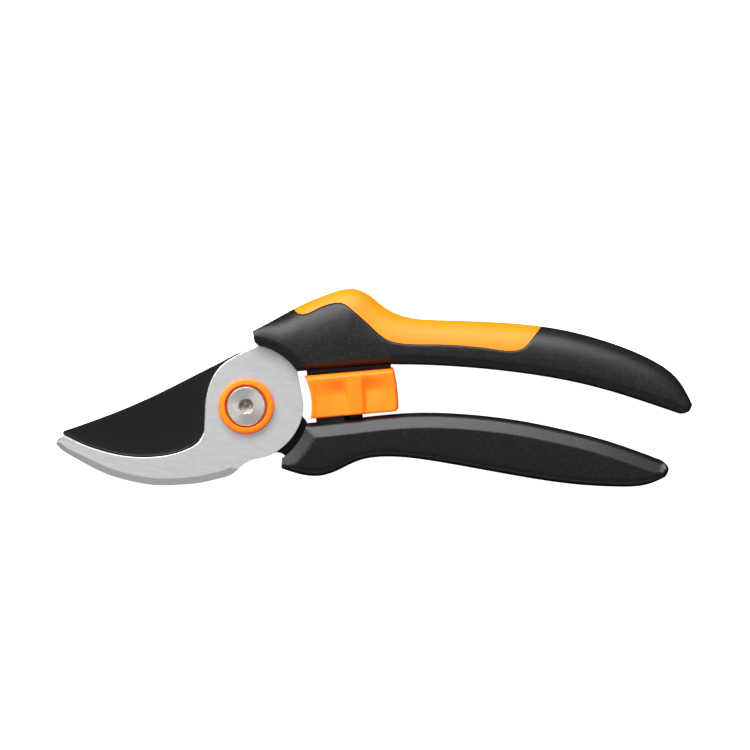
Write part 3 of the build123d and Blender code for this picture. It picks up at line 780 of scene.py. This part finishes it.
def cheek():
    """One side of the lock with its thumb recesses and rib, as a closed mesh."""
    outline = lock_outline(SLIDE["inner"], SLIDE["outer"], SLIDE["bottom"], SLIDE["top"], 0.9)
    edge = Nearness(outline + outline[:1])

    def top(x, y):
        radius = math.hypot(x, y)
        below_top = SLIDE["top"] - y
        left = 0.3 * ease(radius, SLIDE["inner"] + 0.9, SLIDE["inner"] + 1.5)
        left += 0.7 * ease(radius, SLIDE["inner"] + 1.5, RIB[0] - 3.2)
        left *= 1 - ease(radius, RIB[0] - 2.7, RIB[0] - 0.2)
        right = ease(radius, RIB[1], RIB[1] + 1.5)
        right *= 1 - 0.75 * ease(radius, RIB[1] + 1.7, SLIDE["outer"] - 1.6)
        right *= 1 - ease(radius, SLIDE["outer"] - 1.7, SLIDE["outer"] - 1.1)
        deep = RECESS_DEEP[0] * left + RECESS_DEEP[1] * right
        dish = ease(below_top, 1.4, 7.5) * (1 - 0.5 * ease(below_top, 3.0, 15.5))
        drop = deep * dish
        drop = softest(drop, bevel_drop(below_top, CHEEK_TOP_CHAMFER), 0.35)
        drop += round_drop(SLIDE["outer"] - radius, CHEEK_END)
        return SLIDE["front"] - drop - round_drop(edge(x, y), CHEEK_EDGE)

    inside = SLIDE["front"] - CHEEK_THICK
    mesh = plate(outline, top, lambda x, y: inside,
                 (0.08, 0.25, 0.5, 0.8, 1.1, 1.3, 1.45, 1.6, 1.85, 2.1, 2.4), 0.42)
    bmesh.ops.rotate(mesh, verts=mesh.verts, matrix=Matrix.Rotation(CHEEK_LEAN, 3, "Z"))
    return mesh


def solid_block(outline, low, high):
    """A plain prism."""
    return plate(outline, lambda x, y: high, lambda x, y: low)


def box_outline(x, y):
    """A rectangle."""
    return [(x[0], y[0]), (x[1], y[0]), (x[1], y[1]), (x[0], y[1])]


def mirrored(mesh):
    """The same mesh on the other side of the middle plane."""
    for vertex in mesh.verts:
        vertex.co.z = THICK - vertex.co.z
    bmesh.ops.reverse_faces(mesh, faces=mesh.faces)
    return mesh


def lock_piece(look):
    """The orange slide: two cheeks, two end walls, a tab, lips for the rail, ledges below."""
    inside = SLIDE["front"] - CHEEK_THICK
    low, high = THICK - inside - 0.1, inside + 0.1
    inner, outer = SLIDE["inner"], SLIDE["outer"]
    parts = [cheek(), mirrored(cheek())]
    parts.append(solid_block(lock_outline(inner + 0.1, inner + 1.8, -1.0, 6.5), low, high))
    parts.append(solid_block(lock_outline(outer - 3.2, outer - 0.15, -5.3, 6.8, 0.9), low, high))
    parts.append(solid_block(lock_outline(outer - 1.0, outer - 0.15, 6.0, 9.5), low, 12.8))
    for along, across, reach in (LOCK_LIP, LOCK_LEDGE):
        parts.append(solid_block(box_outline(along, across), reach, high))
        parts.append(mirrored(solid_block(box_outline(along, across), reach, high)))
    piece("lock_slide_shell", merged(parts), "lock", look["orange"], ["lock_slide"], LOCK_SLOPE)


# ---- pivot ----------------------------------------------------------------------------------
def lathe(profile, segments=128):
    """A closed ring turned about the pivot axis from (radius, height) corners."""
    mesh = bmesh.new()
    loops = []
    for i in range(segments):
        a = 2 * math.pi * i / segments
        loops.append([mesh.verts.new((r * math.cos(a), r * math.sin(a), h)) for r, h in profile])
    for i, loop in enumerate(loops):
        after = loops[(i + 1) % segments]
        for j in range(len(profile)):
            k = (j + 1) % len(profile)
            mesh.faces.new([loop[j], after[j], after[k], loop[k]])
    bmesh.ops.recalc_face_normals(mesh, faces=mesh.faces)
    return mesh


def collar_piece(look):
    """The orange ring: soft outer shoulder, and a bore that narrows towards its foot."""
    inner, outer, high = COLLAR["inner"], COLLAR["outer"], HOOK_FRONT + COLLAR["tall"]
    round_out, round_in, foot = COLLAR["shoulder"], COLLAR["lip"], COLLAR["foot"]
    shoulder = [(outer - round_out * (1 - math.sin(a)), high - 1.2 + round_out * math.cos(a))
                for a in np.radians(np.linspace(90, 10, 8))]
    lip = [(inner + round_in * (1 - math.sin(a)), high - round_in * (1 - math.cos(a)))
           for a in np.radians(np.linspace(0, 80, 5))]
    profile = [(outer, HOOK_FRONT), *shoulder, *lip, (foot, HOOK_FRONT + 0.4), (foot, HOOK_FRONT)]
    piece("front_collar_ring", lathe(profile), "upper", look["orange"], ["front_collar"])


# ---- return spring --------------------------------------------------------------------------
def spring_piece(look):
    """The coil between the handles."""
    turns, radius, wire = SPRING["turns"], SPRING["radius"], SPRING["wire"]
    low, high = SPRING["low"] + wire, SPRING["high"] - wire
    steps_a_turn, around = 40, 12
    steps = int(turns * steps_a_turn)
    mesh = bmesh.new()
    loops = []
    for i in range(steps + 1):
        share = i / steps
        a = 2 * math.pi * turns * share
        height = low + (high - low) * share
        out = Vector((math.cos(a), 0, math.sin(a)))
        middle = Vector((SPRING["along"], height, MIDDLE)) + out * radius
        loops.append([mesh.verts.new(middle + (out * math.cos(b) + Vector((0, 1, 0)) * math.sin(b))
                                     * wire) for b in np.linspace(0, 2 * math.pi, around, False)])
    for before, after in zip(loops, loops[1:]):
        for j in range(around):
            k = (j + 1) % around
            mesh.faces.new([before[j], before[k], after[k], after[j]])
    mesh.faces.new(loops[0])
    mesh.faces.new(list(reversed(loops[-1])))
    bmesh.ops.recalc_face_normals(mesh, faces=mesh.faces)
    made = piece("return_spring_coil", mesh, None, look["spring"], ["return_spring"], LOCK_SLOPE)
    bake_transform(made)


# ---- finish of the CAD pieces that are shown as they are ------------------------------------
def paint(node, material):
    """Gives a CAD node one of the materials."""
    nodes[node].data.materials.clear()
    nodes[node].data.materials.append(material)
    nodes[node].data.shade_smooth()
    nodes[node].data.set_sharp_from_angle(angle=math.radians(25))


def paint_all(look):
    """Every CAD node, shown or not, has its material."""
    choice = {
        "hook": ["hook_blade"],
        "blade": ["cutting_blade"],
        "bolt": ["pivot_bolt", "pivot_nut", "upper_tang_screws", "lower_tang_screws"],
        "plated": ["pivot_bushing", "rear_collar", "spring_washer", "lock_detent_spring"],
        "rail": ["slide_rail", "lock_catch", "lower_spring_seat", "upper_spring_seat"],
        "orange": ["lock_slide", "front_collar"],
        "upper": ["upper_handle"],
        "lower": ["lower_handle"],
        "grip": ["upper_soft_grip"],
        "spring": ["return_spring"],
    }
    for name, members in choice.items():
        for node in members:
            paint(node, look[name])


# ---- studio ---------------------------------------------------------------------------------
def softbox(name, at, size, power, toward=(0.045, 0.01, 0.01)):
    """A rectangular soft light that faces a point."""
    data = bpy.data.lights.new(name, "AREA")
    data.shape = "RECTANGLE"
    data.size, data.size_y = size
    data.energy = power
    lamp = bpy.data.objects.new(name, data)
    lamp.location = at
    lamp.visible_camera = False
    lamp.rotation_euler = (Vector(toward) - Vector(at)).to_track_quat("-Z", "Y").to_euler()
    bpy.context.scene.collection.objects.link(lamp)


def sky():
    """What shiny faces reflect: bright overhead, dimmer at the horizon, black underneath."""
    world = bpy.data.worlds.new("studio")
    world.use_nodes = True
    tree = world.node_tree
    place = tree.nodes.new("ShaderNodeTexCoord").outputs["Generated"]
    apart = tree.nodes.new("ShaderNodeSeparateXYZ")
    tree.links.new(place, apart.inputs[0])
    span = tree.nodes.new("ShaderNodeMapRange")
    span.inputs["From Min"].default_value = -0.05
    span.inputs["From Max"].default_value = 1.0
    tree.links.new(apart.outputs["Z"], span.inputs["Value"])
    ramp = tree.nodes.new("ShaderNodeValToRGB")
    ramp.color_ramp.elements[0].color = (0, 0, 0, 1)
    ramp.color_ramp.elements[1].color = (0.48, 0.48, 0.48, 1)
    ramp.color_ramp.elements.new(0.15).color = (0.13, 0.13, 0.13, 1)
    tree.links.new(span.outputs["Result"], ramp.inputs["Fac"])
    tree.links.new(ramp.outputs["Color"], tree.nodes["Background"].inputs["Color"])
    bpy.context.scene.world = world


def studio():
    """White surroundings, a large soft light, a weak low one, and the camera."""
    sheet = bpy.data.materials.new("white sheet")
    sheet.use_nodes = True
    shader = sheet.node_tree.nodes["Principled BSDF"]
    shader.inputs["Base Color"].default_value = (0.9, 0.9, 0.9, 1)
    shader.inputs["Roughness"].default_value = 0.9
    shader.inputs["Emission Color"].default_value = (1, 1, 1, 1)
    shader.inputs["Emission Strength"].default_value = 1.0
    bpy.ops.mesh.primitive_plane_add(size=6, location=(0, 0, -0.001))
    floor = bpy.context.object
    floor.name = "floor"
    bpy.ops.mesh.primitive_uv_sphere_add(radius=3.5, segments=64, ring_count=32)
    backdrop = bpy.context.object
    backdrop.name = "backdrop"
    for screen in (floor, backdrop):
        screen.data.materials.append(sheet)
        screen.visible_diffuse = False
        screen.visible_glossy = False
        screen.visible_shadow = False

    sky()
    softbox("key", at=(-0.31, 0.95, 0.67), size=(1.7, 0.7), power=38)
    softbox("low fill", at=(0.1, -1.3, 0.14), size=(2.2, 0.4), power=3.2)

    camera = bpy.data.cameras.new("camera")
    camera.sensor_width = 36
    camera.lens = 36 * (CAMERA_HEIGHT - HOOK_FRONT * MM) / VIEW_WIDE
    camera.clip_start = 0.05
    camera.clip_end = 20
    eye = bpy.data.objects.new("camera", camera)
    eye.location = (*VIEW_CENTRE, CAMERA_HEIGHT)
    bpy.context.scene.collection.objects.link(eye)
    bpy.context.scene.camera = eye
    bpy.context.scene.view_settings.view_transform = "Standard"


look = looks()
paint_all(look)
hook_piece(look)
cutter_piece(look)
upper_pieces(look)
lower_piece(look)
lock_piece(look)
collar_piece(look)
spring_piece(look)
studio()
